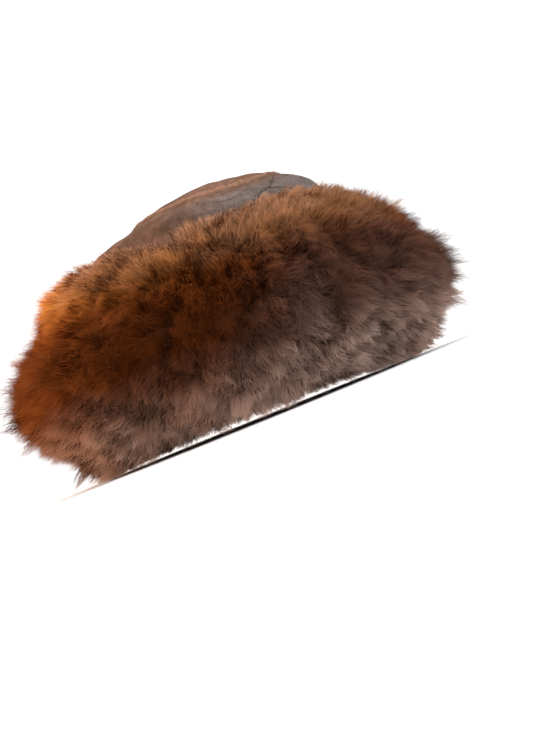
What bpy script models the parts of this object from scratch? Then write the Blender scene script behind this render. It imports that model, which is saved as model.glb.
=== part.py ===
"""A soft sheepskin hat of pillbox form: a low suede crown and a deep turned-up cuff with long fleece.

Metres, +Z up, +X towards the forehead. The hat rests on the fleece of its hem at z = 0. The crown is an oval
tip sewn to a side band. The cuff stands round the band, skin side in, and its fleece is modelled as locks
that are one body with the skin.
"""

import math
import random
from collections import namedtuple

import bmesh
import bpy
from mathutils import Vector, noise

# Driving sizes of the hat
HEAD_HALF_LENGTH = 0.098
HEAD_HALF_WIDTH = 0.079
SUEDE = 0.0025
SEW_GAP = 0.0003
HEM_HEIGHT = 0.020
SEAM_HEIGHT = 0.1545
EGG = 0.05

# The hem rides up over the ears, between flat stretches at the forehead and the nape
HEM_RISE = 0.006
HEM_FLAT_SINE = 0.35
RISE_FADES_AT = 0.100

# The fleece stands higher at the nape than at the forehead. Above this height it also stands less far off the
# band there, by the whole trim where it is this deep, and by less where it is thinner
NAPE_RISE = 0.017
NAPE_TRIM = 0.011
TRIM_ABOVE = 0.060
TRIM_WHOLE_AT = 0.030

# Where the cuff's skin ends against the side band
CUFF_TOP = 0.118

# The ledge of fleece under the band's edge, and the rounding of the cuff's lowest inner edge
LEDGE_LIP = 0.0005
EDGE_ROUND = 0.004

# Columns of the mesh round the hat
COLUMNS = 48
WELD = 1e-6

# The side band, outer face: an oval at each height, which leans forward and draws in towards the tip
Oval = namedtuple("Oval", "height half_length half_width forward")
BAND = (
    Oval(HEM_HEIGHT, HEAD_HALF_LENGTH + SUEDE, HEAD_HALF_WIDTH + SUEDE, 0.0000),
    Oval(0.050, 0.1010, 0.0820, 0.0010),
    Oval(0.090, 0.1000, 0.0810, 0.0030),
    Oval(0.118, 0.0965, 0.0775, 0.0060),
    Oval(0.136, 0.0895, 0.0705, 0.0100),
    Oval(0.148, 0.0780, 0.0600, 0.0145),
    Oval(SEAM_HEIGHT, 0.0660, 0.0490, 0.0190),
)

# The tip, outer face, from its sewn edge to its middle
TIP = (
    Oval(SEAM_HEIGHT + 0.0006, 0.0652, 0.0482, 0.0190),
    Oval(0.1602, 0.0550, 0.0405, 0.0200),
    Oval(0.1640, 0.0400, 0.0300, 0.0210),
    Oval(0.1660, 0.0210, 0.0160, 0.0220),
    Oval(0.1665, 0.0000, 0.0000, 0.0220),
)

# Soft hollows (depth above 0) and swells of the crown where the suede has slumped
Dent = namedtuple("Dent", "x y reach_x reach_y depth")
CROWN_DENTS = (
    Dent(0.020, -0.050, 0.055, 0.016, 0.0035),
    Dent(0.050, -0.028, 0.020, 0.010, 0.0030),
    Dent(0.010, 0.020, 0.036, 0.018, -0.0015),
    Dent(-0.040, -0.040, 0.018, 0.018, 0.0020),
    Dent(-0.058, 0.020, 0.018, 0.022, 0.0020),
)

# The fleece, hem to top edge: how far its body stands off the band, and how long its locks are
Row = namedtuple("Row", "reach height lock droop")
FLEECE = (
    Row(0.010, 0.000, 0.010, 0.00),
    Row(0.024, 0.012, 0.015, 0.10),
    Row(0.040, 0.029, 0.018, 0.15),
    Row(0.048, 0.052, 0.019, 0.15),
    Row(0.043, 0.075, 0.018, 0.10),
    Row(0.030, 0.097, 0.016, 0.00),
    Row(0.014, 0.112, 0.013, 0.00),
    Row(0.004, 0.120, 0.000, 0.00),
)
LOCK_WAIST = 0.60
LOCK_BEND = 0.55
LOCK_SPREAD = 0.16
LOCK_VARIES = (0.85, 1.15)
LOCK_FLOOR = 0.001
CELL_JITTER = 0.16
ROW_STAGGER = 0.5
BODY_JITTER = 0.0015
SWELL = 0.003
SWELL_PER_METRE = 14.0
FLEECE_SEED = 11

Finish = namedtuple("Finish", "colour roughness")
SUEDE_FINISH = Finish((0.205, 0.142, 0.112, 1.0), 0.90)
FLEECE_FINISH = Finish((0.115, 0.046, 0.022, 1.0), 0.95)


def clear_scene():
    """Empties the scene before the hat is modelled."""
    for obj in list(bpy.data.objects):
        bpy.data.objects.remove(obj)


def smooth_step(share):
    """0 to 1 with level ends, for a share that is held between 0 and 1."""
    share = min(max(share, 0.0), 1.0)
    return share * share * (3.0 - 2.0 * share)


def hem_rise(turn, height):
    """How much the hem's saddle lifts a point of the band or the cuff."""
    side = (abs(math.sin(math.tau * turn)) - HEM_FLAT_SINE) / (1.0 - HEM_FLAT_SINE)
    fade = max(0.0, 1.0 - height / RISE_FADES_AT)
    return HEM_RISE * smooth_step(side) * fade


def on_oval(oval, turn, out=0.0):
    """The point of an oval at this share of a turn from the forehead, moved out along the oval's normal."""
    c = math.cos(math.tau * turn)
    s = math.sin(math.tau * turn)
    width = oval.half_width * (1.0 - EGG * c)
    normal = Vector((c * width, s * oval.half_length, 0.0))
    if normal.length > 0.0:
        normal.normalize()
    return Vector((oval.forward + oval.half_length * c, width * s, oval.height)) + normal * out


def band_oval(height):
    """The side band's outer oval at any height, between its sections."""
    for low, high in zip(BAND, BAND[1:]):
        if height <= high.height:
            break
    share = min(max((height - low.height) / (high.height - low.height), 0.0), 1.0)
    mixed = [a + (b - a) * share for a, b in zip(low, high)]
    return Oval(height, *mixed[1:])


def dented(point):
    """Moves a point of the crown by the dents that it lies in, which fade out down to the top of the cuff."""
    drop = 0.0
    for dent in CROWN_DENTS:
        across = ((point.x - dent.x) / dent.reach_x) ** 2 + ((point.y - dent.y) / dent.reach_y) ** 2
        drop += dent.depth * math.exp(-across)
    drop *= smooth_step((point.z - CUFF_TOP) / (SEAM_HEIGHT - CUFF_TOP))
    return point - Vector((0.0, 0.0, drop))


def rolled_grid(columns, rows, place):
    """A grid rolled into a tube or ring by place(turn, row), with the edges that meet welded."""
    bm = bmesh.new()
    bmesh.ops.create_grid(bm, x_segments=columns, y_segments=rows, size=1.0)
    for vert in bm.verts:
        turn = (vert.co.x + 1.0) / 2.0
        row = round((vert.co.y + 1.0) / 2.0 * rows)
        vert.co = place(turn, row)
    bmesh.ops.remove_doubles(bm, verts=bm.verts, dist=WELD)
    return bm


def make_material(name, finish):
    material = bpy.data.materials.new(name)
    material.use_nodes = True
    shader = material.node_tree.nodes["Principled BSDF"]
    shader.inputs["Base Color"].default_value = finish.colour
    shader.inputs["Roughness"].default_value = finish.roughness
    return material


def make_object(name, bm, material, collection):
    """Turns a bmesh into a smooth-shaded object in the hat's collection."""
    mesh = bpy.data.meshes.new(name)
    bm.to_mesh(mesh)
    bm.free()
    mesh.materials.append(material)
    mesh.shade_smooth()
    obj = bpy.data.objects.new(name, mesh)
    collection.objects.link(obj)
    return obj


def add_wall(obj):
    """Gives an open surface the suede's thickness on its inner side."""
    wall = obj.modifiers.new("suede wall", "SOLIDIFY")
    wall.thickness = SUEDE
    wall.offset = -1.0
    wall.use_even_offset = True


def make_side_band(material, collection):
    """The crown's side: one tube of suede from the hem to the tip's seam."""

    def place(turn, row):
        oval = BAND[row]
        point = on_oval(oval, turn)
        point.z += hem_rise(turn, oval.height)
        return dented(point)

    band = make_object("crown_side", rolled_grid(COLUMNS, len(BAND) - 1, place), material, collection)
    add_wall(band)
    return band


def make_tip(material, collection):
    """The crown's tip: a shallow oval dish of suede, upside down, sewn in along its edge."""

    def place(turn, row):
        return dented(on_oval(TIP[row], turn))

    tip = make_object("crown_top", rolled_grid(COLUMNS, len(TIP) - 1, place), material, collection)
    add_wall(tip)
    return tip


def cuff_skin_loops():
    """The cuff's inner face, top edge to hem, then under the band's edge to the flat that it rests on."""
    loops = [(SEW_GAP, section.height) for section in reversed(BAND) if section.height <= CUFF_TOP]
    under = -(SUEDE + LEDGE_LIP)
    ledge = HEM_HEIGHT - SEW_GAP
    loops += [(SEW_GAP, ledge), (under, ledge), (under, EDGE_ROUND), (0.0, 0.0)]
    return loops


def fleece_point(turn, reach, height, stands_off):
    """A point of the cuff: so far off the side band at this height, lifted over the ears and at the nape."""
    at_nape = stands_off * (1.0 - math.cos(math.tau * turn)) / 2.0
    high = smooth_step((height - TRIM_ABOVE) / (CUFF_TOP - TRIM_ABOVE))
    trim = NAPE_TRIM * at_nape * high * min(reach / TRIM_WHOLE_AT, 1.0)
    point = on_oval(band_oval(height), turn, reach - trim)
    point.z += hem_rise(turn, height) + NAPE_RISE * at_nape * (height / CUFF_TOP) ** 2
    return point


def swell(turn, height):
    """The uneven depth of the fleece, which has no regular outline."""
    seat = on_oval(band_oval(height), turn) * SWELL_PER_METRE
    return SWELL * noise.noise(seat)


def grow_locks(bm, rows_of_faces):
    """Draws each face of the fleece out into a lock: a narrowed waist, then a drooping point."""
    chance = random.Random(FLEECE_SEED)
    for row, faces in zip(FLEECE, rows_of_faces):
        for face in faces:
            root = face.calc_center_median()
            spread = Vector([chance.uniform(-LOCK_SPREAD, LOCK_SPREAD) for _ in range(3)])
            grow = (face.normal + spread).normalized() * row.lock * chance.uniform(*LOCK_VARIES)
            sag = Vector((0.0, 0.0, -row.droop * row.lock))
            waist = bmesh.ops.extrude_discrete_faces(bm, faces=[face])["faces"][0]
            for vert in waist.verts:
                vert.co = root + (vert.co - root) * LOCK_WAIST + grow * LOCK_BEND
                vert.co.z = max(vert.co.z, LOCK_FLOOR)
            point = bmesh.ops.poke(bm, faces=[waist])["verts"][0]
            point.co = root + grow + sag
            point.co.z = max(point.co.z, LOCK_FLOOR)


def make_fur_cuff(material, collection):
    """The cuff: skin against the band, a ring of fleece outside it, and locks over all that shows."""
    chance = random.Random(FLEECE_SEED)
    outer_rows = len(FLEECE)
    loops = cuff_skin_loops()
    last_row = outer_rows + len(loops)
    jitter = {}
    for row in range(1, outer_rows - 1):
        for column in range(COLUMNS):
            jitter[row, column] = [chance.uniform(-1.0, 1.0) for _ in range(3)]

    def place(turn, row):
        column = round(turn * COLUMNS) % COLUMNS
        row %= last_row
        if row >= outer_rows:
            reach, height = loops[row - outer_rows]
            return fleece_point(turn, reach, height, 0.0)
        part = FLEECE[row]
        along, up, out = jitter.get((row, column), (0.0, 0.0, 0.0))
        turn += (row % 2 * ROW_STAGGER + along * CELL_JITTER) / COLUMNS
        off = part.reach + out * BODY_JITTER
        if 0 < row < outer_rows - 1:
            off += swell(turn, part.height)
        point = fleece_point(turn, off, part.height, 1.0)
        point.z += up * BODY_JITTER
        return point

    bm = rolled_grid(COLUMNS, last_row, place)
    bm.normal_update()
    bm.faces.ensure_lookup_table()
    rows_of_faces = [bm.faces[row * COLUMNS : (row + 1) * COLUMNS] for row in range(outer_rows - 1)]
    grow_locks(bm, rows_of_faces)
    bmesh.ops.triangulate(bm, faces=bm.faces)
    return make_object("fur_cuff", bm, material, collection)


def centre_on_table(objects):
    """Moves the whole hat so that its footprint is centred on the origin and its lowest point is at z = 0."""
    depsgraph = bpy.context.evaluated_depsgraph_get()
    corners = []
    for obj in objects:
        shown = obj.evaluated_get(depsgraph)
        corners += [vert.co.copy() for vert in shown.data.vertices]
    low = Vector([min(corner[i] for corner in corners) for i in range(3)])
    high = Vector([max(corner[i] for corner in corners) for i in range(3)])
    shift = Vector(((low.x + high.x) / -2.0, (low.y + high.y) / -2.0, -low.z))
    for obj in objects:
        obj.location = shift


def main():
    clear_scene()
    hat = bpy.data.collections.new("sheepskin_hat")
    bpy.context.scene.collection.children.link(hat)
    suede = make_material("suede", SUEDE_FINISH)
    fleece = make_material("fleece", FLEECE_FINISH)
    pieces = [make_tip(suede, hat), make_side_band(suede, hat), make_fur_cuff(fleece, hat)]
    bpy.context.view_layer.update()
    centre_on_table(pieces)


main()
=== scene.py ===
"""A soft sheepskin hat: a low suede crown, and round it a deep turned-up cuff of long brown fleece.

Metres, +Z up, +X towards the forehead. The sections follow the hat as it is made: side band, tip, the skin
of the cuff, the fleece on it, and then the floor, lights and camera.
"""

import math
from collections import namedtuple

import bmesh
import bpy
import numpy as np
from mathutils import Matrix, Vector, noise


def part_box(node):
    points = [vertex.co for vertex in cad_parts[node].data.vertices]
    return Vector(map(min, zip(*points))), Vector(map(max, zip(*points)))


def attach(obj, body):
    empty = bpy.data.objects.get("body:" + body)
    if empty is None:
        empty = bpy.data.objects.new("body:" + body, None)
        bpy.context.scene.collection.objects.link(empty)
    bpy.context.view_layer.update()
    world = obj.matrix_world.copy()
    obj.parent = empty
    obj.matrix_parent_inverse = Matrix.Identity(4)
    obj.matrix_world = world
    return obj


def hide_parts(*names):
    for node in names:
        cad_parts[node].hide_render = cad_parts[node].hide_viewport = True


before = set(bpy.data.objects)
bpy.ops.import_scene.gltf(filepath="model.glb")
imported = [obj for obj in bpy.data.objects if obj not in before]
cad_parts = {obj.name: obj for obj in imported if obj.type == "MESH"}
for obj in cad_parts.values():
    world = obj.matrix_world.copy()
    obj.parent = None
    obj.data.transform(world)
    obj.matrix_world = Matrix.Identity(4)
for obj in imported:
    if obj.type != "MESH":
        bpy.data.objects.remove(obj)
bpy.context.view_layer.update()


# Side band of the crown.
# One tube of sheepskin, sueded side out, from the hem over the ears up to the tip. It leans forward and draws
# in to a low dome, sags a little, and is seamed to the tip along a thin raised edge that catches the light.

Oval = namedtuple("Oval", "height half_length half_width forward")
BAND = (
    Oval(0.020, 0.1005, 0.0815, 0.0000),
    Oval(0.050, 0.1010, 0.0820, 0.0010),
    Oval(0.090, 0.1000, 0.0810, 0.0030),
    Oval(0.118, 0.0965, 0.0775, 0.0060),
    Oval(0.136, 0.0895, 0.0705, 0.0100),
    Oval(0.148, 0.0780, 0.0600, 0.0145),
    Oval(0.1565, 0.0560, 0.0510, 0.0210),
)
EGG = 0.05
SEAM_HEIGHT = 0.1565
SUEDE = 0.0025
BAND_CENTRE_X = 0.00125
HEM_RISE = 0.006
HEM_FLAT_SINE = 0.35
RISE_FADES_AT = 0.100
CUFF_TOP = 0.118
BAND_COLUMNS = 256
BAND_ROWS = 64

# The soft hollows of the crown; a depth under 0 is a swell
Dent = namedtuple("Dent", "x y reach_x reach_y depth")
DENTS = (
    Dent(0.020, -0.050, 0.055, 0.016, 0.0035),
    Dent(0.050, -0.028, 0.020, 0.010, 0.0030),
    Dent(0.010, 0.020, 0.036, 0.018, -0.0015),
    Dent(-0.040, -0.040, 0.018, 0.018, 0.0020),
    Dent(-0.058, 0.020, 0.018, 0.022, 0.0020),
    Dent(0.006, -0.020, 0.024, 0.040, 0.0022),
    Dent(0.086, 0.000, 0.014, 0.040, 0.0030),
    Dent(0.052, -0.020, 0.016, 0.008, 0.0020),
    Dent(0.045, -0.047, 0.026, 0.016, 0.0036),
)

# Its shallow ripples, as depth and number to a metre, and the pucker and the raised edge at the seam
RIPPLES = ((0.0022, 30.0), (0.0009, 85.0))
PUCKER = 0.0011
PUCKERS_ROUND = 40.0
PUCKER_REACH = 0.008
RIDGE = 0.0016
RIDGE_REACH = 0.0034

# The hat's own middle in the room: the middle of the side band's box, less what the band's egg shape adds
band_low, band_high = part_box("crown_side")
SEAT = Vector(((band_low[0] + band_high[0]) / 2 - BAND_CENTRE_X, (band_low[1] + band_high[1]) / 2, 0.0))


def smooth_step(share):
    share = min(max(share, 0.0), 1.0)
    return share * share * (3.0 - 2.0 * share)


def eased(rows, place):
    """A row of a table at any place between its rows, on a smooth curve through them."""
    place = min(max(place, 0.0), len(rows) - 1.0)
    i = min(int(place), len(rows) - 2)
    t = place - i
    a, b = rows[i], rows[i + 1]
    before, after = rows[max(i - 1, 0)], rows[min(i + 2, len(rows) - 1)]
    mixed = []
    for p, q, r, s in zip(before, a, b, after):
        m0, m1 = (r - p) / 2, (s - q) / 2
        mixed.append(q + t * (m0 + t * (3 * (r - q) - 2 * m0 - m1 + t * (2 * (q - r) + m0 + m1))))
    return type(a)(*mixed)


def place_at_height(rows, height):
    """Where between the rows of a table its height is this one."""
    low, high = 0.0, len(rows) - 1.0
    for _ in range(24):
        middle = (low + high) / 2
        if eased(rows, middle).height < height:
            low = middle
        else:
            high = middle
    return low


def on_oval(oval, turn, out=0.0):
    """The point of an oval at a share of a turn round from the forehead, or so far out from there."""
    c, s = math.cos(math.tau * turn), math.sin(math.tau * turn)
    width = oval.half_width * (1.0 - EGG * c)
    normal = Vector((c * width, s * oval.half_length, 0.0))
    if normal.length > 0.0:
        normal.normalize()
    return Vector((oval.forward + oval.half_length * c, width * s, oval.height)) + normal * out


def hem_rise(turn, height):
    """How far the hem arches up over the ears, and what is above it with it."""
    side = (abs(math.sin(math.tau * turn)) - HEM_FLAT_SINE) / (1.0 - HEM_FLAT_SINE)
    return HEM_RISE * smooth_step(side) * max(0.0, 1.0 - height / RISE_FADES_AT)


def slumped(point, turn, from_seam):
    """The soft hollows of the crown, its shallow ripples, and the pucker and raised edge at the seam."""
    drop = 0.0
    for dent in DENTS:
        across = ((point.x - dent.x) / dent.reach_x) ** 2 + ((point.y - dent.y) / dent.reach_y) ** 2
        drop += dent.depth * math.exp(-across)
    soft = smooth_step((point.z - CUFF_TOP) / (SEAM_HEIGHT - CUFF_TOP))
    ripple = sum(depth * noise.noise(point * per_metre) for depth, per_metre in RIPPLES)
    round_seam = Vector((turn * PUCKERS_ROUND, 0.3, 0.0))
    pucker = PUCKER * noise.noise(round_seam) * math.exp(-from_seam / PUCKER_REACH)
    ridge = RIDGE * math.exp(-(from_seam / RIDGE_REACH) ** 2)
    return point + Vector((0.0, 0.0, soft * (ripple + pucker + ridge - drop)))


def rolled_grid(columns, rows, place):
    """A grid rolled up into a tube: each corner goes where its turn and row say, and edges that meet join."""
    bm = bmesh.new()
    bmesh.ops.create_grid(bm, x_segments=columns, y_segments=rows, size=1.0)
    for vert in bm.verts:
        turn = (vert.co.x + 1.0) / 2.0
        row = round((vert.co.y + 1.0) / 2.0 * rows)
        vert.co = place(turn, row)
    bmesh.ops.remove_doubles(bm, verts=bm.verts, dist=1e-6)
    return bm


def place_band(turn, row):
    share = row / BAND_ROWS
    oval = eased(BAND, (len(BAND) - 1) * share ** 0.8)
    point = on_oval(oval, turn)
    from_seam = (SEAM_HEIGHT - oval.height) + (oval.half_length - BAND[-1].half_length)
    point = slumped(point, turn, max(from_seam, 0.0))
    point.z += hem_rise(turn, oval.height)
    return point + SEAT


def show(name, bm):
    mesh = bpy.data.meshes.new(name)
    bm.to_mesh(mesh)
    bm.free()
    mesh.shade_smooth()
    piece = bpy.data.objects.new(name, mesh)
    bpy.context.scene.collection.objects.link(piece)
    return piece


def add_wall(piece, thickness):
    wall = piece.modifiers.new("wall", "SOLIDIFY")
    wall.thickness = thickness
    wall.offset = -1.0
    wall.use_even_offset = True
    wall.use_rim = True


def add(tree, kind, inputs=(), **settings):
    """Adds a node with its settings, and links or sets its inputs, given by name or in their order.

    A node given as an input stands for its first output in use.
    """
    node = tree.nodes.new(kind)
    for name, value in settings.items():
        setattr(node, name, value)
    for key, value in inputs.items() if isinstance(inputs, dict) else enumerate(inputs):
        if isinstance(value, bpy.types.Node):
            value = next(output for output in value.outputs if output.enabled)
        if isinstance(value, bpy.types.NodeSocket):
            tree.links.new(value, node.inputs[key])
        else:
            node.inputs[key].default_value = value
    return node


def linear(code):
    """An sRGB hex colour as linear red, green and blue, with alpha."""
    parts = [int(code[i : i + 2], 16) / 255 for i in (1, 3, 5)]
    return tuple(p / 12.92 if p <= 0.04045 else ((p + 0.055) / 1.055) ** 2.4 for p in parts) + (1.0,)


def led_through(ramp, *stops):
    """The colour ramp, led through (place, shade) stops: a hex colour, or a plain value."""
    elements = ramp.color_ramp.elements
    elements.remove(elements[1])
    elements[0].position = stops[0][0]
    for _ in stops[1:]:
        elements.new(1.0)
    for element, (place, shade) in zip(elements, stops):
        element.position = place
        element.color = linear(shade) if isinstance(shade, str) else (shade,) * 3 + (1.0,)
    return ramp


# Kinds of node that come up often
MATH, RANGE, MIX = "ShaderNodeMath", "ShaderNodeMapRange", "ShaderNodeMix"
VECTOR, JOINED, PARTED = "ShaderNodeVectorMath", "ShaderNodeCombineXYZ", "ShaderNodeSeparateXYZ"
NOISE, RAMP = "ShaderNodeTexNoise", "ShaderNodeValToRGB"

# Sheepskin, sueded: the skin side brushed to a short nap. It is dry and matt, with cloudy patches where the
# nap lies differently, a painted highlight along the seam's raised edge, and the fine dark lines of the veins.
suede = bpy.data.materials.new("sueded_sheepskin")
suede.use_nodes = True
tree = suede.node_tree
shader = tree.nodes["Principled BSDF"]
shader.inputs["Roughness"].default_value = 0.92
shader.inputs["IOR"].default_value = 1.45
shader.inputs["Specular IOR Level"].default_value = 0.08
shader.inputs["Sheen Weight"].default_value = 0.06
shader.inputs["Sheen Roughness"].default_value = 0.6
shader.inputs["Sheen Tint"].default_value = linear("#c9a184")
here = add(tree, "ShaderNodeTexCoord").outputs["Object"]

# Veins of the skin on the right side of the band, as routes across its side view: (x, z) points
VEIN_WIDTH = 0.0007
VEIN_WANDER = 0.0012
VEIN_WANDERS_PER_METRE = 260.0
VEINS = (
    ((0.0493, 0.1277), (0.0517, 0.1321), (0.0536, 0.1354), (0.0586, 0.1377), (0.0616, 0.1384),
     (0.0673, 0.1371), (0.0734, 0.1350), (0.0802, 0.1307)),
    ((0.0616, 0.1384), (0.0628, 0.1398), (0.0659, 0.1442), (0.0683, 0.1484)),
    ((0.0841, 0.1312), (0.0884, 0.1307)),
    ((0.0142, 0.1440), (0.0231, 0.1398), (0.0327, 0.1369), (0.0401, 0.1387), (0.0472, 0.1418)),
)
VEIN_DEPTHS = (0.52, 0.50, 0.45, 0.28)


def from_stretch(tree, place, start, end):
    """How far a place is, in the side view, from the straight stretch between two (x, z) points."""
    way = Vector((end[0] - start[0], 0.0, end[1] - start[1]))
    off = add(tree, VECTOR, (place, (start[0], 0.0, start[1])), operation="SUBTRACT")
    onto = add(tree, VECTOR, (off, tuple(way)), operation="DOT_PRODUCT")
    share = add(tree, MATH, (onto, way.length_squared), operation="DIVIDE", use_clamp=True)
    foot = add(tree, VECTOR, {0: tuple(way), "Scale": share}, operation="SCALE")
    gap = add(tree, VECTOR, (off, foot), operation="SUBTRACT")
    return add(tree, VECTOR, (gap,), operation="LENGTH")


def vein_shade(tree, place):
    """1 on bare skin and less on a vein, by the distance from its route in the side view."""
    wander = add(tree, NOISE, {"Vector": place, "Scale": VEIN_WANDERS_PER_METRE, "Detail": 1.0})
    wander = add(tree, VECTOR, (wander.outputs["Color"], (0.5, 0.5, 0.5)), operation="SUBTRACT")
    wander = add(tree, VECTOR, {0: wander, "Scale": VEIN_WANDER}, operation="SCALE")
    wandered = add(tree, VECTOR, (place, wander), operation="ADD")
    flat = add(tree, VECTOR, (wandered, (1.0, 0.0, 1.0)), operation="MULTIPLY")
    crosswise = add(tree, PARTED, (place,)).outputs["Y"]
    right_side = add(tree, MATH, (crosswise, 0.0), operation="LESS_THAN")
    bare = 1.0
    for route, depth in zip(VEINS, VEIN_DEPTHS):
        near = 1.0
        for start, end in zip(route, route[1:]):
            near = add(tree, MATH, (near, from_stretch(tree, flat, start, end)), operation="MINIMUM")
        dark = add(tree, RANGE, (near, 0.3 * VEIN_WIDTH, 1.3 * VEIN_WIDTH, depth, 0.0))
        dark = add(tree, MATH, (dark, right_side), operation="MULTIPLY")
        rest = add(tree, MATH, (1.0, dark), operation="SUBTRACT")
        bare = add(tree, MATH, (bare, rest), operation="MULTIPLY")
    return bare


# How far out from the tip's seam a place is, in shares of the tip's oval: under 0 on the tip, over 0 below it
at = add(tree, PARTED, (here,)).outputs
seam = BAND[-1]
lengthwise = add(tree, MATH, (at["X"], 1.0 / seam.half_length, -(seam.forward + SEAT.x) / seam.half_length),
                 operation="MULTIPLY_ADD")
egg_width = add(tree, MATH, (lengthwise, -EGG * seam.half_width, seam.half_width), operation="MULTIPLY_ADD")
crosswise = add(tree, MATH, (at["Y"], egg_width), operation="DIVIDE")
ring = add(tree, JOINED, (lengthwise, crosswise))
past_seam = add(tree, MATH, (add(tree, VECTOR, (ring,), operation="LENGTH"), 1.0), operation="SUBTRACT")

# Cloudy brown skin, greyer down the side towards the forehead, with a painted highlight along the seam's edge
cloudy = add(tree, NOISE, {"Vector": here, "Scale": 42.0, "Detail": 4.0, "Roughness": 0.6})
# Painted light in part: the tan towards the nape and the grey towards the forehead are partly the skin's own
# colour and partly painted warm and cool light
tanned = led_through(add(tree, RAMP, (cloudy,)), (0.30, "#412c1f"), (0.50, "#593f30"), (0.72, "#705244"))
greyed = led_through(add(tree, RAMP, (cloudy,)), (0.30, "#443d3a"), (0.50, "#5c5350"), (0.72, "#6f6662"))
to_forehead = add(tree, RANGE, (at["X"], -0.015, 0.050, 0.0, 1.0))
down_side = add(tree, RANGE, (past_seam, 0.02, 0.24, 0.0, 1.0))
greyness = add(tree, MATH, (to_forehead, down_side), operation="MULTIPLY")
skin = add(tree, MIX, {0: greyness, 6: tanned, 7: greyed}, data_type="RGBA")
# Painted highlight: the raised edge at the seam is drawn paler, where it catches the light
off_seam = add(tree, MATH, (past_seam,), operation="ABSOLUTE")
seam_highlight = add(tree, MATH, (add(tree, RANGE, (off_seam, 0.0, 0.035, 1.0, 0.0)), 0.55), operation="MULTIPLY")
seam_highlighted_skin = add(tree, MIX, {0: seam_highlight, 6: skin, 7: linear("#96715a")}, data_type="RGBA")

# A darker patch low on the right side of the band
DARK_PATCH = (0.006, -0.068, 0.134)
DARK_PATCH_REACH = (0.026, 0.030, 0.011)
per_reach = tuple(1.0 / reach for reach in DARK_PATCH_REACH)
off_patch = add(tree, VECTOR, (here, DARK_PATCH), operation="SUBTRACT")
off_patch = add(tree, VECTOR, (off_patch, per_reach), operation="MULTIPLY")
off_patch = add(tree, VECTOR, (off_patch,), operation="LENGTH")
patch = add(tree, RANGE, (add(tree, MATH, (off_patch, cloudy), operation="ADD"), 0.7, 1.6, 0.66, 1.0))

# The painted shade just inside the tip's seam, the mottled tone, and the nap. A true nap is finer than the
# render shows, so it is drawn at about 1.6 mm.
seam_shade_tip = add(tree, RANGE, (past_seam, -0.12, -0.02, 1.0, 0.55))
seam_shade_edge = add(tree, RANGE, (past_seam, -0.02, -0.008, 0.55, 1.0))
seam_painted_shade = add(tree, MATH, (seam_shade_tip, seam_shade_edge), operation="MAXIMUM")
mottle = add(tree, NOISE, {"Vector": here, "Scale": 230.0, "Detail": 3.0, "Roughness": 0.7})
mottle = add(tree, RANGE, (mottle, 0.35, 0.65, 0.76, 1.20))
nap = add(tree, NOISE, {"Vector": here, "Scale": 620.0, "Detail": 5.0, "Roughness": 0.75})
shade = add(tree, RANGE, (nap, 0.3, 0.7, 0.72, 1.26))
for other in (mottle, vein_shade(tree, here), patch, seam_painted_shade):
    shade = add(tree, MATH, (shade, other), operation="MULTIPLY")
shaded = add(tree, VECTOR, {0: seam_highlighted_skin, "Scale": shade}, operation="SCALE")
tree.links.new(shaded.outputs["Vector"], shader.inputs["Base Color"])
grain = add(tree, "ShaderNodeBump", {"Height": nap, "Strength": 0.35, "Distance": 0.0006})
tree.links.new(grain.outputs["Normal"], shader.inputs["Normal"])

band = show("crown_band", rolled_grid(BAND_COLUMNS, BAND_ROWS, place_band))
band.data.materials.append(suede)
add_wall(band, SUEDE)
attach(band, "root")
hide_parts("crown_side")


# Tip of the crown.
# An oval of the same sueded skin, sewn in along its edge and slightly domed. Its near edge stands up as a
# thin ridge, with a hollow behind it towards the forehead.

TIP = (
    Oval(SEAM_HEIGHT + 0.0001, 0.0559, 0.0509, 0.0210),
    Oval(0.1612, 0.0460, 0.0415, 0.0212),
    Oval(0.1643, 0.0330, 0.0300, 0.0216),
    Oval(0.1660, 0.0170, 0.0160, 0.0220),
    Oval(0.1666, 0.0000, 0.0000, 0.0220),
)
TIP_ROWS = 40


def place_tip(turn, row):
    oval = eased(TIP, (len(TIP) - 1) * row / TIP_ROWS)
    from_seam = TIP[0].half_length - oval.half_length
    return slumped(on_oval(oval, turn), turn, max(from_seam, 0.0)) + SEAT


tip = show("crown_tip", rolled_grid(BAND_COLUMNS, TIP_ROWS, place_tip))
tip.data.materials.append(suede)
add_wall(tip, SUEDE)
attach(tip, "root")
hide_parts("crown_top")


# Skin and underwool of the cuff.
# The band's skin turns up at the hem, wool side out, and stands round the band. Close to the skin the wool is
# felted into a dense mass, dark partly as painted shade, which the long locks grow out of. It is one closed
# ring.

Row = namedtuple("Row", "reach height pile droop")
FLEECE = (
    Row(0.008, 0.004, 0.015, 0.90),
    Row(0.017, 0.015, 0.016, 0.90),
    Row(0.032, 0.031, 0.019, 0.65),
    Row(0.044, 0.053, 0.021, 0.50),
    Row(0.036, 0.075, 0.020, 0.35),
    Row(0.021, 0.096, 0.017, 0.20),
    Row(0.008, 0.110, 0.014, 0.15),
    Row(0.002, 0.117, 0.010, 0.05),
)
NAPE_RISE = 0.017
NAPE_TRIM = 0.011
TRIM_ABOVE = 0.060
TRIM_WHOLE_AT = 0.030
FOREHEAD_RISE = 0.010
NAPE_LIFT = 0.009
LIFT_ENDS = 0.070
LIFT_WHOLE_AT = 0.015
WOOL_LOWEST = 0.0015
WOOL_HEIGHT = 0.16
WOOL_LENGTH = 0.32
OPENING_HALF_LENGTH = 0.098
OPENING_HALF_WIDTH = 0.079

# Where the top edge of the cuff sags
Sag = namedtuple("Sag", "turn reach depth")
SAGS = (Sag(0.726, 0.040, 0.0085), Sag(0.330, 0.040, 0.0040), Sag(0.130, 0.030, 0.0030))
RING_COLUMNS = 240
RING_ROWS = 42
SKIN_ROWS = ((0.0006, 0.117), (0.0006, 0.085), (0.0006, 0.050), (0.0006, 0.0195), (-0.0020, 0.0190),
             (-0.0020, 0.0060), (0.0010, 0.0022))
LUMPS = ((0.0030, 17.0), (0.0030, 48.0), (0.0014, 110.0))

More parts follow.
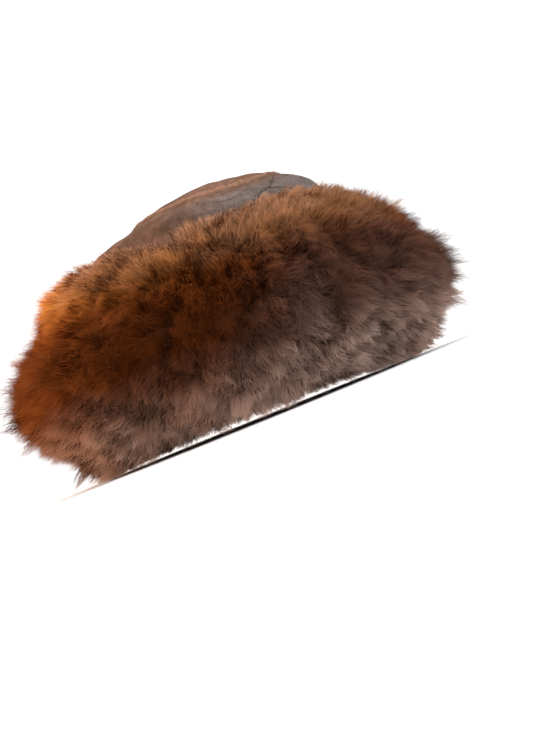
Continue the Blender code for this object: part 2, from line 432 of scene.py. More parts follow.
# Where the wool parts: a groove along a stretch of the right (-1) or left (1) side
Parting = namedtuple("Parting", "x low high lean side reach depth")
PARTINGS = (
    Parting(0.064, 0.062, 0.090, 0.00, -1, 0.0050, 0.0050),
    Parting(0.031, 0.066, 0.080, 0.15, -1, 0.0045, 0.0040),
    Parting(0.014, 0.055, 0.069, 0.80, -1, 0.0045, 0.0035),
    Parting(-0.034, 0.050, 0.076, 0.55, -1, 0.0050, 0.0035),
    Parting(0.098, 0.050, 0.074, -0.50, -1, 0.0050, 0.0030),
    Parting(-0.052, 0.060, 0.086, 0.20, 1, 0.0060, 0.0050),
    Parting(0.020, 0.045, 0.070, -0.30, 1, 0.0050, 0.0040),
    Parting(0.070, 0.050, 0.075, 0.30, 1, 0.0050, 0.0040),
)

band_places = {}


def band_oval(height):
    key = round(height * 20000)
    if key not in band_places:
        band_places[key] = eased(BAND, place_at_height(BAND, height))
    return band_places[key]


def cuff_point(turn, reach, height, stands_off):
    """A point so far out from the band at a height, with the wool's rise and trim at the nape and forehead."""
    behind = (1.0 - math.cos(math.tau * turn)) / 2.0
    at_nape = stands_off * behind
    high = smooth_step((height - TRIM_ABOVE) / (CUFF_TOP - TRIM_ABOVE))
    trim = NAPE_TRIM * at_nape * high * min(reach / TRIM_WHOLE_AT, 1.0)
    point = on_oval(band_oval(height), turn, reach - trim)
    point.z = height + hem_rise(turn, height) + NAPE_RISE * at_nape * (height / CUFF_TOP) ** 2
    sag = sum(sag.depth * math.exp(-((turn - sag.turn) / sag.reach) ** 2) for sag in SAGS)
    rise = FOREHEAD_RISE * (1.0 - behind) ** 2
    point.z += (rise - sag) * (height / CUFF_TOP) ** 3
    low = math.sin(math.pi * min(height / LIFT_ENDS, 1.0))
    point.z += NAPE_LIFT * at_nape ** 2 * low * min(reach / LIFT_WHOLE_AT, 1.0)
    return point


PARTING_ENDS = 0.008


def beside_parting(point, parting):
    """How near a point is to a parting, 0 to 1, and on which side of it."""
    if parting.side * point.y < 0.0:
        return 0.0, 1.0
    off = (point.x - parting.x - parting.lean * (point.z - parting.low)) / parting.reach
    from_low, from_high = point.z - parting.low, parting.high - point.z
    along = smooth_step(from_low / PARTING_ENDS) * smooth_step(from_high / PARTING_ENDS)
    return math.exp(-off * off) * along, 1.0 if off > 0.0 else -1.0


def lumps(point):
    swell = sum(depth * noise.noise(point * per_metre) for depth, per_metre in LUMPS)
    return swell - sum(parting.depth * beside_parting(point, parting)[0] for parting in PARTINGS)


def wool_surface(turn, row, rows):
    """The outside of the mass of wool, at one of so many rows up from the hem, lumps and partings included."""
    part = eased(FLEECE, (len(FLEECE) - 1) * row / rows)
    point = cuff_point(turn, part.reach, part.height, 1.0)
    ends = smooth_step(row / 5) * smooth_step((rows - row) / 5)
    point = cuff_point(turn, part.reach + ends * lumps(point), part.height, 1.0)
    point.z = max(point.z, WOOL_LOWEST)
    return point + SEAT


def place_underwool(turn, row):
    row %= RING_ROWS + len(SKIN_ROWS) + 1
    if row <= RING_ROWS:
        return wool_surface(turn, row, RING_ROWS)
    reach, height = SKIN_ROWS[row - RING_ROWS - 1]
    return cuff_point(turn, reach, height, 0.0) + SEAT


# Underwool: felted brown wool, dark partly in its own colour and partly as painted shade. It shows only as the
# dark between the locks, and has painted light low down and at the top edge, where the wool over it is thin.
UNDERWOOL_PAINTED_LIGHT = 2.4
underwool = bpy.data.materials.new("felted_underwool")
underwool.use_nodes = True
tree = underwool.node_tree
shader = tree.nodes["Principled BSDF"]
shader.inputs["Roughness"].default_value = 1.0
shader.inputs["Specular IOR Level"].default_value = 0.1
here = add(tree, "ShaderNodeTexCoord").outputs["Object"]
mottle = add(tree, NOISE, {"Vector": here, "Scale": 160.0, "Detail": 4.0, "Roughness": 0.65})
felted = led_through(add(tree, RAMP, (mottle,)), (0.30, "#3a2215"), (0.75, "#663e28"))
upward = add(tree, MATH, (add(tree, PARTED, (here,)).outputs["Z"], 1.0 / WOOL_HEIGHT), operation="MULTIPLY")
# Painted light and shade up the cuff, as on the wool: lighter low down and at the top edge, darkest round the
# middle
underwool_painted_light = led_through(add(tree, RAMP, (upward,)), (0.0, 1.00), (0.16, 0.80), (0.32, 0.46), (0.50, 0.42),
                    (0.62, 0.72), (0.76, 1.00))
underwool_painted_light = add(tree, MATH, (underwool_painted_light, UNDERWOOL_PAINTED_LIGHT), operation="MULTIPLY")
shaded = add(tree, VECTOR, {0: felted, "Scale": underwool_painted_light}, operation="SCALE")
tree.links.new(shaded.outputs["Vector"], shader.inputs["Base Color"])
tangle = add(tree, "ShaderNodeBump", {"Height": mottle, "Strength": 0.8, "Distance": 0.002})
tree.links.new(tangle.outputs["Normal"], shader.inputs["Normal"])

ring = show("cuff_underwool", rolled_grid(RING_COLUMNS, RING_ROWS + len(SKIN_ROWS) + 1, place_underwool))
ring.data.materials.append(underwool)
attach(ring, "root")
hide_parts("fur_cuff")


# Long fleece of the cuff.
# Unshorn wool of 50 to 60 mm, whose last 10 to 25 mm stand free of the underwool in soft pointed tufts, a few
# to a lock, with loose frizzy hairs between. It fans out from the hem, hangs at the bottom, stands up at the
# top edge and parts here and there. Each strand is a thin ribbon, pointed at both ends.

TUFTS_PER_SQUARE_METRE = 36000.0
LOCKS_PER_SQUARE_METRE = 5000.0
Wool = namedtuple("Wool", "name pieces strands width segments shortest longest stray "
                          "least_held most_held seed")
WOOLS = (
    Wool("fleece", 4, 120000, 0.00038, 3, 0.60, 1.04, 0.85, 0.28, 0.88, 5),
    Wool("frizz", 2, 184000, 0.00032, 2, 0.50, 0.96, 1.15, 0.00, 0.35, 5),
)

# How the wool lies: fanned out and hanging, waved and curled, and pushed apart at the partings
FAN = 0.85
FAN_ACROSS = 0.6
FAN_REACH = 0.1
NAPE_SPRING = 0.55
FOREHEAD_HANG = 0.80
COMB_SEED = 3
Wave = namedtuple("Wave", "strength more_at_rim per_metre")
WAVES = (Wave(0.55, 0.00, 26.0), Wave(0.70, 0.50, 75.0))
PARTING_PUSH = 1.5
PARTING_THINS = 0.5

# How long it is: uneven all over, longer at the two ends of the rim and shorter between them
LENGTH_WAVES = ((0.40, 55.0), (0.25, 130.0))
RIM_FROM = 0.085
RIM_DEPTH = 0.020
RIM_ENDS_LONGER = 0.45
RIM_SHORTER = 0.15
RIM_LOOSER = 0.50
WISPY_ENDS = 0.32
WISPY_FROM = 0.085
WISPY_REACH = 0.050

# How far a lock and a tuft reach, as shares of the wool's length there, and how much they stray. Few tufts are
# near the longest, and each leans towards its lock by a share between the last two.
Growth = namedtuple("Growth", "shortest longest stray")
LOCK = Growth(0.95, 1.25, 0.55)
TUFT = Growth(0.80, 1.60, 0.60)
LONG_TUFT_RARITY = 3.0
TUFT_LEANS = (0.10, 0.55)

# How much of a strand's tone, 0 to 1, comes from its lock, its tuft and itself
LOCK_TONE = 0.3
TUFT_TONE = 0.3
OWN_TONE = 0.4

# A strand's form, as shares of its length: its knee, its sway round its line, its twist and how its width
# varies and falls off. Then its height clear of the floor, and how the light takes its lock: round, by so much
# per metre off the lock's axis, and turned so much towards its end.
KNEE_RISE = 0.5
KNEE_LEAN = 0.15
SWAY = 0.11
SWINGS = 7.0
SWING_LATE = 1.2
FULL_TURN = 6.283
TWIST = 0.35
WIDTHS = (0.6, 1.3)
STRAND_TAPER = 2.2
STRAND_SWELL = 4.0
STRAND_CLEAR = 0.0006
LOCK_ROUNDNESS = 48.0
LOCK_ENDWISE = 0.35

# What the wool's surface, locks, tufts and strands carry while they are made
NUMBERS = ("turn", "pile", "held", "wispy", "lock_tone", "tuft_tone", "tone", "phase", "breadth", "along",
           "side")
PLACES_AND_WAYS = ("comb", "lock_root", "lock_tip", "tuft_tip", "root", "tip", "out", "spin", "shade")
STRAND_VALUES = {**dict.fromkeys(NUMBERS, "FLOAT"), **dict.fromkeys(PLACES_AND_WAYS, "FLOAT_VECTOR")}
SHADER_ONLY = ("tone", "shade")
FOR_THE_COLOUR = ("along", "tone")
CHANCE = "FunctionNodeRandomValue"

# The surface that the wool grows on, which isn't kept: the outside of the underwool, in an open grid
GUIDE_COLUMNS = 240
GUIDE_ROWS = 48
PARTS_TO_A_ROW = 8


def place_guide(turn, row):
    return wool_surface(turn, row, GUIDE_ROWS)


guide = show("guide", rolled_grid(GUIDE_COLUMNS, GUIDE_ROWS, place_guide))
guide_count = len(guide.data.vertices)
turns = np.empty(guide_count, np.float32)
piles = np.empty(guide_count, np.float32)
combs = np.empty((guide_count, 3), np.float32)
holds = np.empty(guide_count, np.float32)
wisps = np.empty(guide_count, np.float32)
noise.seed_set(COMB_SEED)
fleece_parts = [eased(FLEECE, i / PARTS_TO_A_ROW) for i in range(PARTS_TO_A_ROW * (len(FLEECE) - 1) + 1)]
for i, vert in enumerate(guide.data.vertices):
    at = vert.co - SEAT
    turn = (math.atan2(at.y / OPENING_HALF_WIDTH, at.x / OPENING_HALF_LENGTH) / math.tau) % 1.0
    at_nape = (1.0 - math.cos(math.tau * turn)) / 2.0
    level = at.z - NAPE_RISE * at_nape * min(at.z / CUFF_TOP, 1.0) ** 2
    level -= hem_rise(turn, at.z)
    part = min(fleece_parts, key=lambda part: abs(part.height - level))
    rim = smooth_step((level - RIM_FROM) / RIM_DEPTH)
    pile = part.pile * sum((share * noise.noise(at * per_metre) for share, per_metre in LENGTH_WAVES), 1.0)
    pile *= 1.0 + rim * (RIM_ENDS_LONGER * (2.0 * at_nape - 1.0) ** 2 - RIM_SHORTER)
    droop = part.droop * (1.0 - NAPE_SPRING * at_nape + FOREHEAD_HANG * (1.0 - at_nape) ** 4)
    comb = Vector((FAN * at.x / FAN_REACH, FAN * FAN_ACROSS * at.y / FAN_REACH, -droop))
    comb += sum(((wave.strength + wave.more_at_rim * rim) * noise.noise_vector(at * wave.per_metre)
                 for wave in WAVES), Vector())
    for parting in PARTINGS:
        close, side = beside_parting(at, parting)
        comb.x += PARTING_PUSH * close * side
        pile *= 1.0 - PARTING_THINS * close
    turns[i], piles[i], combs[i] = turn, pile, comb
    holds[i] = 1.0 - RIM_LOOSER * rim
    wisps[i] = 1.0 + WISPY_ENDS * smooth_step((abs(at.x) - WISPY_FROM) / WISPY_REACH)
for name, values in (("turn", turns), ("pile", piles), ("held", holds), ("wispy", wisps), ("comb", combs)):
    attribute = guide.data.attributes.new(name, STRAND_VALUES[name], "POINT")
    attribute.data.foreach_set("vector" if name == "comb" else "value", values.ravel())


def fleece_tree():
    """Scatters tufts and locks on a surface, and a strand for each point that bends towards its own."""
    tree = bpy.data.node_groups.new("fleece", "GeometryNodeTree")
    tree.interface.new_socket("Geometry", in_out="INPUT", socket_type="NodeSocketGeometry")
    tree.interface.new_socket("Geometry", in_out="OUTPUT", socket_type="NodeSocketGeometry")
    for name, kind in (
        ("Strands per square metre", "NodeSocketFloat"),
        ("Tufts per square metre", "NodeSocketFloat"),
        ("Locks per square metre", "NodeSocketFloat"),
        ("Strand width", "NodeSocketFloat"),
        ("Segments", "NodeSocketInt"),
        ("Shortest", "NodeSocketFloat"),
        ("Longest", "NodeSocketFloat"),
        ("Stray", "NodeSocketFloat"),
        ("Least held", "NodeSocketFloat"),
        ("Most held", "NodeSocketFloat"),
        ("From turn", "NodeSocketFloat"),
        ("To turn", "NodeSocketFloat"),
        ("Seed", "NodeSocketInt"),
        ("Wool", "NodeSocketMaterial"),
    ):
        tree.interface.new_socket(name, in_out="INPUT", socket_type=kind)
    given = add(tree, "NodeGroupInput").outputs
    here = add(tree, "GeometryNodeInputPosition")
    own = {
        name: add(tree, "GeometryNodeInputNamedAttribute", {"Name": name}, data_type=kind)
        for name, kind in STRAND_VALUES.items()
        if name not in SHADER_ONLY
    }

    def keeping(points, **values):
        """The points, with these values kept on them."""
        for name, value in values.items():
            points = add(tree, "GeometryNodeStoreNamedAttribute",
                         {"Geometry": points, "Name": name, "Value": value}, data_type=STRAND_VALUES[name])
        return points

    def product(*values):
        whole = values[0]
        for value in values[1:]:
            whole = add(tree, MATH, (whole, value), operation="MULTIPLY")
        return whole

    def scattered(density, seed_step):
        """Points on the wool's surface, and which way is out there."""
        seed = add(tree, MATH, (given["Seed"], seed_step), operation="ADD")
        node = add(tree, "GeometryNodeDistributePointsOnFaces",
                   {"Mesh": given["Geometry"], "Density": density, "Seed": seed})
        return node, node.outputs["Normal"]

    def free_end(out, low, high, stray, seed, rarity=1.0):
        """Where a hair ends if nothing gathers it: out from the skin, as it is combed, with some stray."""
        off = add(tree, CHANCE, {0: (-1.0,) * 3, 1: (1.0,) * 3, "Seed": seed}, data_type="FLOAT_VECTOR")
        off = add(tree, VECTOR, {0: off, "Scale": stray}, operation="SCALE")
        way = add(tree, VECTOR, (out, own["comb"]), operation="ADD")
        way = add(tree, VECTOR, (way, off), operation="ADD")
        way = add(tree, VECTOR, (way,), operation="NORMALIZE")
        share = add(tree, CHANCE, {2: 0.0, 3: 1.0, "Seed": seed + 1}, data_type="FLOAT")
        share = add(tree, MATH, (share, rarity), operation="POWER")
        span = add(tree, MATH, (high, low), operation="SUBTRACT")
        share = add(tree, MATH, (share, span, low), operation="MULTIPLY_ADD")
        reach = add(tree, VECTOR, {0: way, "Scale": product(own["pile"], share)}, operation="SCALE")
        return add(tree, VECTOR, (here, reach), operation="ADD")

    def nearest(points, name):
        """The value of this name on the nearest of the points."""
        near = add(tree, "GeometryNodeSampleNearest", (points,), domain="POINT")
        return add(tree, "GeometryNodeSampleIndex", {"Geometry": points, "Value": own[name], "Index": near},
                   data_type=STRAND_VALUES[name], domain="POINT")

    # Locks: a few tufts wide
    locks, out = scattered(given["Locks per square metre"], 0)
    locks = keeping(locks, lock_root=here, lock_tip=free_end(out, LOCK.shortest, LOCK.longest, LOCK.stray, 21),
                    lock_tone=add(tree, CHANCE, {2: 0.0, 3: 1.0, "Seed": 23}, data_type="FLOAT"))

    # Tufts: each leans to its lock by a different share, and now and then one is long, a wisp
    tufts, out = scattered(given["Tufts per square metre"], 1)
    longest = product(own["wispy"], TUFT.longest)
    wisp = free_end(out, TUFT.shortest, longest, TUFT.stray, 31, LONG_TUFT_RARITY)
    leaning = add(tree, CHANCE, {2: TUFT_LEANS[0], 3: TUFT_LEANS[1], "Seed": 33}, data_type="FLOAT")
    tufts = keeping(
        tufts,
        tuft_tip=add(tree, MIX, {0: leaning, 4: wisp, 5: nearest(locks, "lock_tip")}, data_type="VECTOR"),
        phase=add(tree, CHANCE, {2: 0.0, 3: FULL_TURN, "Seed": 34}, data_type="FLOAT"),
        tuft_tone=add(tree, CHANCE, {2: 0.0, 3: 1.0, "Seed": 35}, data_type="FLOAT"),
    )

    # Strands: each is held to its tuft by a different share, and sways with it
    hairs, out = scattered(given["Strands per square metre"], 2)
    loose = free_end(out, given["Shortest"], given["Longest"], given["Stray"], 41)
    held = add(tree, CHANCE, {2: given["Least held"], 3: given["Most held"], "Seed": 43}, data_type="FLOAT")
    held = product(own["held"], held)
    lock_tone = product(nearest(locks, "lock_tone"), LOCK_TONE)
    tuft_tone = product(nearest(tufts, "tuft_tone"), TUFT_TONE)
    tone = add(tree, MATH, (lock_tone, tuft_tone), operation="ADD")
    own_tone = add(tree, CHANCE, {2: 0.0, 3: OWN_TONE, "Seed": 45}, data_type="FLOAT")
    late = add(tree, CHANCE, {2: -SWING_LATE, 3: SWING_LATE, "Seed": 46}, data_type="FLOAT")
    wide = add(tree, CHANCE, {2: WIDTHS[0], 3: WIDTHS[1], "Seed": 48}, data_type="FLOAT")
    hairs = keeping(
        hairs,
        out=out,
        tip=add(tree, MIX, {0: held, 4: loose, 5: nearest(tufts, "tuft_tip")}, data_type="VECTOR"),
        root=here,
        lock_root=nearest(locks, "lock_root"),
        lock_tip=nearest(locks, "lock_tip"),
        tone=add(tree, MATH, (tone, own_tone), operation="ADD"),
        phase=add(tree, MATH, (nearest(tufts, "phase"), late), operation="ADD"),
        spin=add(tree, CHANCE, {0: (-1.0,) * 3, 1: (1.0,) * 3, "Seed": 47}, data_type="FLOAT_VECTOR"),
        breadth=product(given["Strand width"], wide),
    )
    before = add(tree, MATH, (own["turn"], given["From turn"]), operation="LESS_THAN")
    last = add(tree, MATH, (given["To turn"], 1e-7), operation="SUBTRACT")
    after = add(tree, MATH, (own["turn"], last), operation="GREATER_THAN")
    elsewhere = add(tree, MATH, (before, after), operation="ADD")
    hairs = add(tree, "GeometryNodeDeleteGeometry", (hairs, elsewhere), domain="POINT")

    # A flat ribbon, pointed at both ends, one on each strand's point
    cuts = add(tree, MATH, (given["Segments"], 1.0), operation="ADD")
    ribbon = add(tree, "GeometryNodeMeshGrid",
                 {"Size X": 1.0, "Size Y": 1.0, "Vertices X": 2, "Vertices Y": cuts})
    parts = add(tree, PARTED, (here,)).outputs
    along = add(tree, MATH, (parts["Y"], 0.5), operation="ADD")
    narrowing = add(tree, MATH, (along, STRAND_TAPER), operation="POWER")
    narrowing = add(tree, MATH, (1.0, narrowing), operation="SUBTRACT")
    widening = add(tree, MATH, (1.0, product(along, STRAND_SWELL)), operation="MINIMUM")
    side = product(parts["X"], product(narrowing, widening))
    ribbon = keeping(ribbon, along=along, side=side)
    pointed = add(tree, JOINED, (side, along))
    ribbon = add(tree, "GeometryNodeSetPosition", {"Geometry": ribbon, "Position": pointed})
    ribbon = add(tree, "GeometryNodeMergeByDistance", {"Geometry": ribbon, "Distance": 0.001})
    strands = add(tree, "GeometryNodeInstanceOnPoints", {"Points": hairs, "Instance": ribbon})
    strands = add(tree, "GeometryNodeRealizeInstances", (strands,))

    # Each strand rises out of the skin, bends over a knee towards its end, and sways round that line
    t = own["along"]
    reach = add(tree, VECTOR, (own["tip"], own["root"]), operation="SUBTRACT")
    length = add(tree, VECTOR, (reach,), operation="LENGTH")
    rise = add(tree, VECTOR, {0: own["out"], "Scale": product(length, KNEE_RISE)}, operation="SCALE")
    lean = add(tree, VECTOR, {0: reach, "Scale": KNEE_LEAN}, operation="SCALE")
    knee = add(tree, VECTOR, (own["root"], add(tree, VECTOR, (rise, lean), operation="ADD")), operation="ADD")
    lower = add(tree, MIX, {0: t, 4: own["root"], 5: knee}, data_type="VECTOR")
    upper = add(tree, MIX, {0: t, 4: knee, 5: own["tip"]}, data_type="VECTOR")
    bent = add(tree, MIX, {0: t, 4: lower, 5: upper}, data_type="VECTOR")
    spin = add(tree, VECTOR, {0: own["spin"], "Scale": product(length, TWIST)}, operation="SCALE")
    across = add(tree, VECTOR, (reach, spin), operation="ADD")
    across = add(tree, VECTOR, (across, own["out"]), operation="CROSS_PRODUCT")
    across = add(tree, VECTOR, (across,), operation="NORMALIZE")
    swing = add(tree, MATH, (own["phase"], product(t, SWINGS)), operation="ADD")
    sway = product(product(length, SWAY), t)
    for way, wave in ((across, "SINE"), (own["out"], "COSINE")):
        step = product(sway, add(tree, MATH, (swing,), operation=wave))
        step = add(tree, VECTOR, {0: way, "Scale": step}, operation="SCALE")
        bent = add(tree, VECTOR, (bent, step), operation="ADD")
    wide = add(tree, VECTOR, {0: across, "Scale": product(own["side"], own["breadth"])}, operation="SCALE")
    corner = add(tree, PARTED, (add(tree, VECTOR, (bent, wide), operation="ADD"),)).outputs
    lowest = add(tree, MATH, (STRAND_CLEAR, product(t, STRAND_CLEAR)), operation="ADD")
    lifted = add(tree, MATH, (corner["Z"], lowest), operation="MAXIMUM")
    placed = add(tree, JOINED, (corner["X"], corner["Y"], lifted))

    # The light falls on a strand as on its whole lock, a soft round mass, not as on a single hair
    axis = add(tree, MIX, {0: t, 4: own["lock_root"], 5: own["lock_tip"]}, data_type="VECTOR")
    off_axis = add(tree, VECTOR, (bent, axis), operation="SUBTRACT")
    round_lock = add(tree, VECTOR, {0: off_axis, "Scale": LOCK_ROUNDNESS}, operation="SCALE")
    facing = add(tree, VECTOR, (own["out"], round_lock), operation="ADD")
    endwise = add(tree, VECTOR, (reach,), operation="NORMALIZE")
    endwise = add(tree, VECTOR, {0: endwise, "Scale": LOCK_ENDWISE}, operation="SCALE")
    facing = add(tree, VECTOR, (facing, endwise), operation="ADD")
    strands = keeping(strands, shade=add(tree, VECTOR, (facing,), operation="NORMALIZE"))
    strands = add(tree, "GeometryNodeSetPosition", {"Geometry": strands, "Position": placed})
    strands = add(tree, "GeometryNodeSetMaterial", {"Geometry": strands, "Material": given["Wool"]})
    add(tree, "NodeGroupOutput", {"Geometry": strands})
    return tree


# Brown fleece, washed and combed: fine matt wool with a soft sheen. Each hair is dark at the root and lighter
# and warmer towards the tip, and tufts differ in tone. Patches of it are greyer.
WOOL_BRIGHTNESS = 7.0
wool = bpy.data.materials.new("long_brown_wool")
wool.use_nodes = True
tree = wool.node_tree
shader = tree.nodes["Principled BSDF"]
shader.inputs["Roughness"].default_value = 0.9
shader.inputs["Specular IOR Level"].default_value = 0.02
shader.inputs["Sheen Weight"].default_value = 0.05
shader.inputs["Sheen Roughness"].default_value = 0.5
shader.inputs["Sheen Tint"].default_value = linear("#b07a4c")
along = add(tree, "ShaderNodeAttribute", attribute_name="along").outputs["Fac"]
tone = add(tree, "ShaderNodeAttribute", attribute_name="tone").outputs["Fac"]
here = add(tree, "ShaderNodeTexCoord").outputs["Object"]
at = add(tree, PARTED, (here,)).outputs

# Where a place is, 0 to 1: up from the floor, with the nape's wool counted lower, and on towards the forehead
nape = add(tree, MATH, (at["X"], 0.0), operation="MINIMUM")
behind = add(tree, MATH, (nape, 1.2, 1.0), operation="MULTIPLY_ADD")
upward = add(tree, MATH, (at["Z"], behind), operation="MULTIPLY")
upward = add(tree, MATH, (upward, 1.0 / WOOL_HEIGHT), operation="MULTIPLY")
forward = add(tree, MATH, (at["X"], 1.0 / WOOL_LENGTH, 0.5), operation="MULTIPLY_ADD")

# Rust round the middle, tan above it, and greyer low down, towards the forehead and in patches
rust = led_through(add(tree, RAMP, (along,)), (0.0, "#5e2b0f"), (0.5, "#6c3311"), (1.0, "#7d3f18"))
tan = led_through(add(tree, RAMP, (along,)), (0.0, "#603714"), (0.5, "#70431a"), (1.0, "#845224"))
grey = led_through(add(tree, RAMP, (along,)), (0.0, "#5b4c45"), (0.5, "#6d5d55"), (1.0, "#86766d"))
rusty = led_through(add(tree, RAMP, (upward,)), (0.0, 0.20), (0.12, 0.40), (0.25, 1.00), (0.52, 1.00),
                    (0.64, 0.10), (0.80, 0.00))
warm = add(tree, MIX, {0: rusty, 6: tan, 7: rust}, data_type="RGBA")
# The grey low down and towards the forehead is partly the wool's own colour and partly painted light, pale
# from below and cool from the front
grey_back = led_through(add(tree, RAMP, (upward,)), (0.0, 0.95), (0.16, 0.75), (0.27, 0.40), (0.34, 0.12),
                        (0.42, 0.00), (0.54, 0.00), (0.62, 0.25), (0.70, 0.38), (0.80, 0.52))
grey_front = led_through(add(tree, RAMP, (upward,)), (0.0, 1.00), (0.16, 1.00), (0.27, 0.78), (0.36, 0.64),
                         (0.46, 0.52), (0.56, 0.40), (0.66, 0.41), (0.76, 0.50))
to_front = add(tree, RANGE, (forward, 0.46, 0.66, 0.0, 1.0))
greyness = add(tree, MIX, {0: to_front, 6: grey_back, 7: grey_front}, data_type="RGBA")
for per_metre, share in ((30.0, 0.4), (75.0, 0.3)):
    patches = add(tree, NOISE, {"Vector": here, "Scale": per_metre, "Detail": 2.0})
    greyness = add(tree, MATH, (patches, share, greyness), operation="MULTIPLY_ADD")
least = add(tree, RANGE, (forward, 0.0, 0.30, 0.85, 0.55))
greyness = add(tree, MATH, (greyness, least), operation="SUBTRACT", use_clamp=True)
body = add(tree, MIX, {0: greyness, 6: warm, 7: grey}, data_type="RGBA")

# Painted light and shade: darkest round the middle of its height and of its length, where little light reaches
painted_light_up_back = led_through(add(tree, RAMP, (upward,)), (0.0, 0.54), (0.14, 0.34), (0.25, 0.17), (0.36, 0.135),
                      (0.46, 0.150), (0.56, 0.34), (0.66, 0.55), (0.76, 0.71))
painted_light_up_front = led_through(add(tree, RAMP, (upward,)), (0.0, 1.00), (0.14, 0.60), (0.25, 0.20), (0.36, 0.145),
                       (0.46, 0.170), (0.56, 0.27), (0.66, 0.43), (0.76, 0.63))
to_front = add(tree, RANGE, (forward, 0.24, 0.54, 0.0, 1.0))
painted_light_by_height = add(tree, MIX, {0: to_front, 6: painted_light_up_back, 7: painted_light_up_front}, data_type="RGBA")
painted_light_by_length = led_through(add(tree, RAMP, (forward,)), (0.0, 1.30), (0.16, 0.98), (0.33, 0.45), (0.5, 0.46),
                        (0.66, 0.46), (0.80, 0.44), (1.0, 0.62))
painted_light_and_shade = add(tree, VECTOR, (painted_light_by_height, painted_light_by_length), operation="MULTIPLY")
shaded = add(tree, VECTOR, (body, painted_light_and_shade), operation="MULTIPLY")

# Painted shade in the partings, and a little uneven from strand to strand and from clump to clump
in_side_view = add(tree, VECTOR, (here, (1.0, 0.0, 1.0)), operation="MULTIPLY")
parting_painted_shade = 1.0
for parting in PARTINGS:
    low_end = (parting.x, parting.low)
    high_end = (parting.x + parting.lean * (parting.high - parting.low), parting.high)
    away = from_stretch(tree, in_side_view, low_end, high_end)
    on_side = add(tree, MATH, (at["Y"], parting.side), operation="MULTIPLY")
    on_side = add(tree, MATH, (on_side, 0.0), operation="GREATER_THAN")
    dark = add(tree, RANGE, (away, 0.0, 0.0045, 0.5, 0.0))
    dark = add(tree, MATH, (dark, on_side), operation="MULTIPLY")
    rest = add(tree, MATH, (1.0, dark), operation="SUBTRACT")
    parting_painted_shade = add(tree, MATH, (parting_painted_shade, rest), operation="MULTIPLY")
clumps = add(tree, NOISE, {"Vector": here, "Scale": 95.0, "Detail": 3.0})
clumps = add(tree, RANGE, (clumps, 0.3, 0.7, 0.94, 1.07))
level = add(tree, RANGE, (tone, 0.0, 1.0, 0.95, 1.05))
for other in (clumps, WOOL_BRIGHTNESS, parting_painted_shade):
    level = add(tree, MATH, (level, other), operation="MULTIPLY")
shaded = add(tree, VECTOR, {0: shaded, "Scale": level}, operation="SCALE")
tree.links.new(shaded.outputs["Vector"], shader.inputs["Base Color"])

combing = fleece_tree()
identifiers = {item.name: item.identifier for item in combing.interface.items_tree if item.in_out == "INPUT"}
guide_area = sum(face.area for face in guide.data.polygons)
for wool_kind in WOOLS:
    for number in range(wool_kind.pieces):
        grower = guide.modifiers.new("fleece", "NODES")
        grower.node_group = combing
        for name, value in (
            ("Strands per square metre", wool_kind.strands / guide_area),
            ("Tufts per square metre", TUFTS_PER_SQUARE_METRE),
            ("Locks per square metre", LOCKS_PER_SQUARE_METRE),
            ("Strand width", wool_kind.width),
            ("Segments", wool_kind.segments),
            ("Shortest", wool_kind.shortest),
            ("Longest", wool_kind.longest),
            ("Stray", wool_kind.stray),
            ("Least held", wool_kind.least_held),
            ("Most held", wool_kind.most_held),
            ("From turn", number / wool_kind.pieces),
            ("To turn", (number + 1) / wool_kind.pieces),
            ("Seed", wool_kind.seed),
            ("Wool", wool),
        ):
            grower[identifiers[name]] = value
        guide.update_tag()
        depsgraph = bpy.context.evaluated_depsgraph_get()
        mesh = bpy.data.meshes.new_from_object(guide.evaluated_get(depsgraph), depsgraph=depsgraph)
        guide.modifiers.remove(grower)
        mesh.name = f"{wool_kind.name}_{number + 1}"
        normals = np.empty(len(mesh.vertices) * 3, np.float32)
        mesh.attributes["shade"].data.foreach_get("vector", normals)
        mesh.shade_smooth()
        mesh.normals_split_custom_set_from_vertices(normals.reshape(-1, 3).tolist())
        for name in STRAND_VALUES:
            if name in mesh.attributes and name not in FOR_THE_COLOUR:
                mesh.attributes.remove(mesh.attributes[name])
        mesh.materials.clear()
        mesh.materials.append(wool)
        fleece = bpy.data.objects.new(mesh.name, mesh)
        bpy.context.scene.collection.objects.link(fleece)
        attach(fleece, "root")
bpy.data.objects.remove(guide)


# Floor, light and camera.
# A pale floor in soft studio light: a warm lamp high behind the nape, a cooler one towards the forehead, a
# broad one overhead and a low one on the right. The camera sees the right side, turned so that the forehead
# end rises.

FLOOR_SIZE = 12.0
floor_mesh = bmesh.new()
bmesh.ops.create_grid(floor_mesh, x_segments=1, y_segments=1, size=FLOOR_SIZE / 2)
floor = show("floor", floor_mesh)
paper = bpy.data.materials.new("matt_white_paper")
paper.use_nodes = True
paper.node_tree.nodes["Principled BSDF"].inputs["Base Color"].default_value = linear("#ffffff")
paper.node_tree.nodes["Principled BSDF"].inputs["Roughness"].default_value = 0.9
floor.data.materials.append(paper)

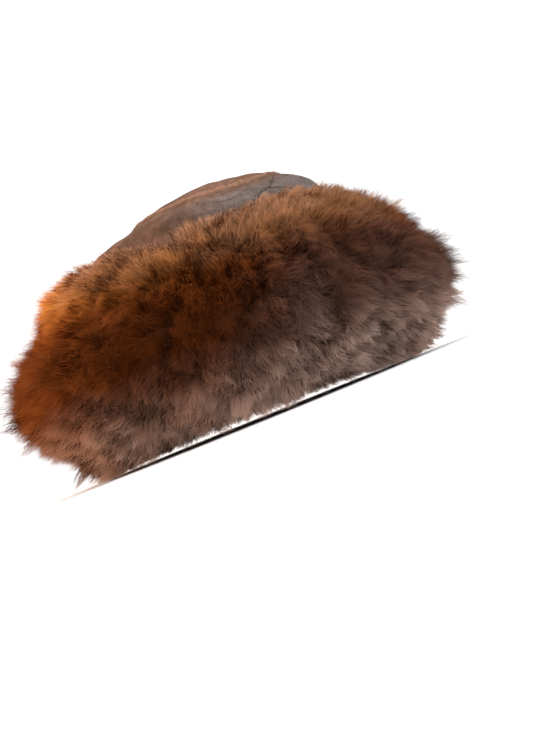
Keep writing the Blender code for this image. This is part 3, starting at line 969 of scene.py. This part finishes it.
world = bpy.data.worlds.new("studio")
bpy.context.scene.world = world
world.use_nodes = True
world.node_tree.nodes["Background"].inputs["Color"].default_value = (1.0, 1.0, 1.0, 1.0)
world.node_tree.nodes["Background"].inputs["Strength"].default_value = 1.15

Lamp = namedtuple("Lamp", "name place aim size power colour")
LAMPS = (
    Lamp("warm_lamp", (-0.90, -0.25, 0.85), (-0.05, 0.0, 0.08), 0.9, 5.6, "#ffc490"),
    Lamp("cool_lamp", (0.95, -0.75, 0.55), (0.05, 0.0, 0.08), 0.9, 4.0, "#e4edff"),
    Lamp("top_lamp", (0.10, 0.10, 1.30), (0.0, 0.0, 0.10), 1.6, 10.0, "#fff4e8"),
    Lamp("low_lamp", (0.10, -1.50, 0.45), (0.0, 0.0, 0.00), 1.6, 13.0, "#f4f6ff"),
)
for lamp in LAMPS:
    light = bpy.data.lights.new(lamp.name, "AREA")
    light.size = lamp.size
    light.energy = lamp.power
    light.color = linear(lamp.colour)[:3]
    stand = bpy.data.objects.new(lamp.name, light)
    stand.location = lamp.place
    stand.rotation_euler = (Vector(lamp.aim) - Vector(lamp.place)).to_track_quat("-Z", "Y").to_euler()
    bpy.context.scene.collection.objects.link(stand)

CAMERA_PLACE = Vector((0.0215, -0.560, 0.008))
CAMERA_LENS = 38.4
CAMERA_SENSOR = 36.0
CAMERA_SHIFT = (-0.0166, 0.0410)
CAMERA_ROLL = math.radians(22.0)
lens = bpy.data.cameras.new("camera")
lens.lens = CAMERA_LENS
lens.sensor_width = CAMERA_SENSOR
lens.shift_x, lens.shift_y = CAMERA_SHIFT
lens.clip_start = 0.01
lens.clip_end = 100.0
camera = bpy.data.objects.new("camera", lens)
c, s = math.cos(CAMERA_ROLL), math.sin(CAMERA_ROLL)
camera.matrix_world = Matrix(((c, s, 0.0, CAMERA_PLACE.x), (0.0, 0.0, -1.0, CAMERA_PLACE.y),
                              (-s, c, 0.0, CAMERA_PLACE.z), (0.0, 0.0, 0.0, 1.0)))
bpy.context.scene.collection.objects.link(camera)
bpy.context.scene.camera = camera
bpy.context.scene.view_settings.view_transform = "Standard"
bpy.context.scene.view_settings.look = "None"
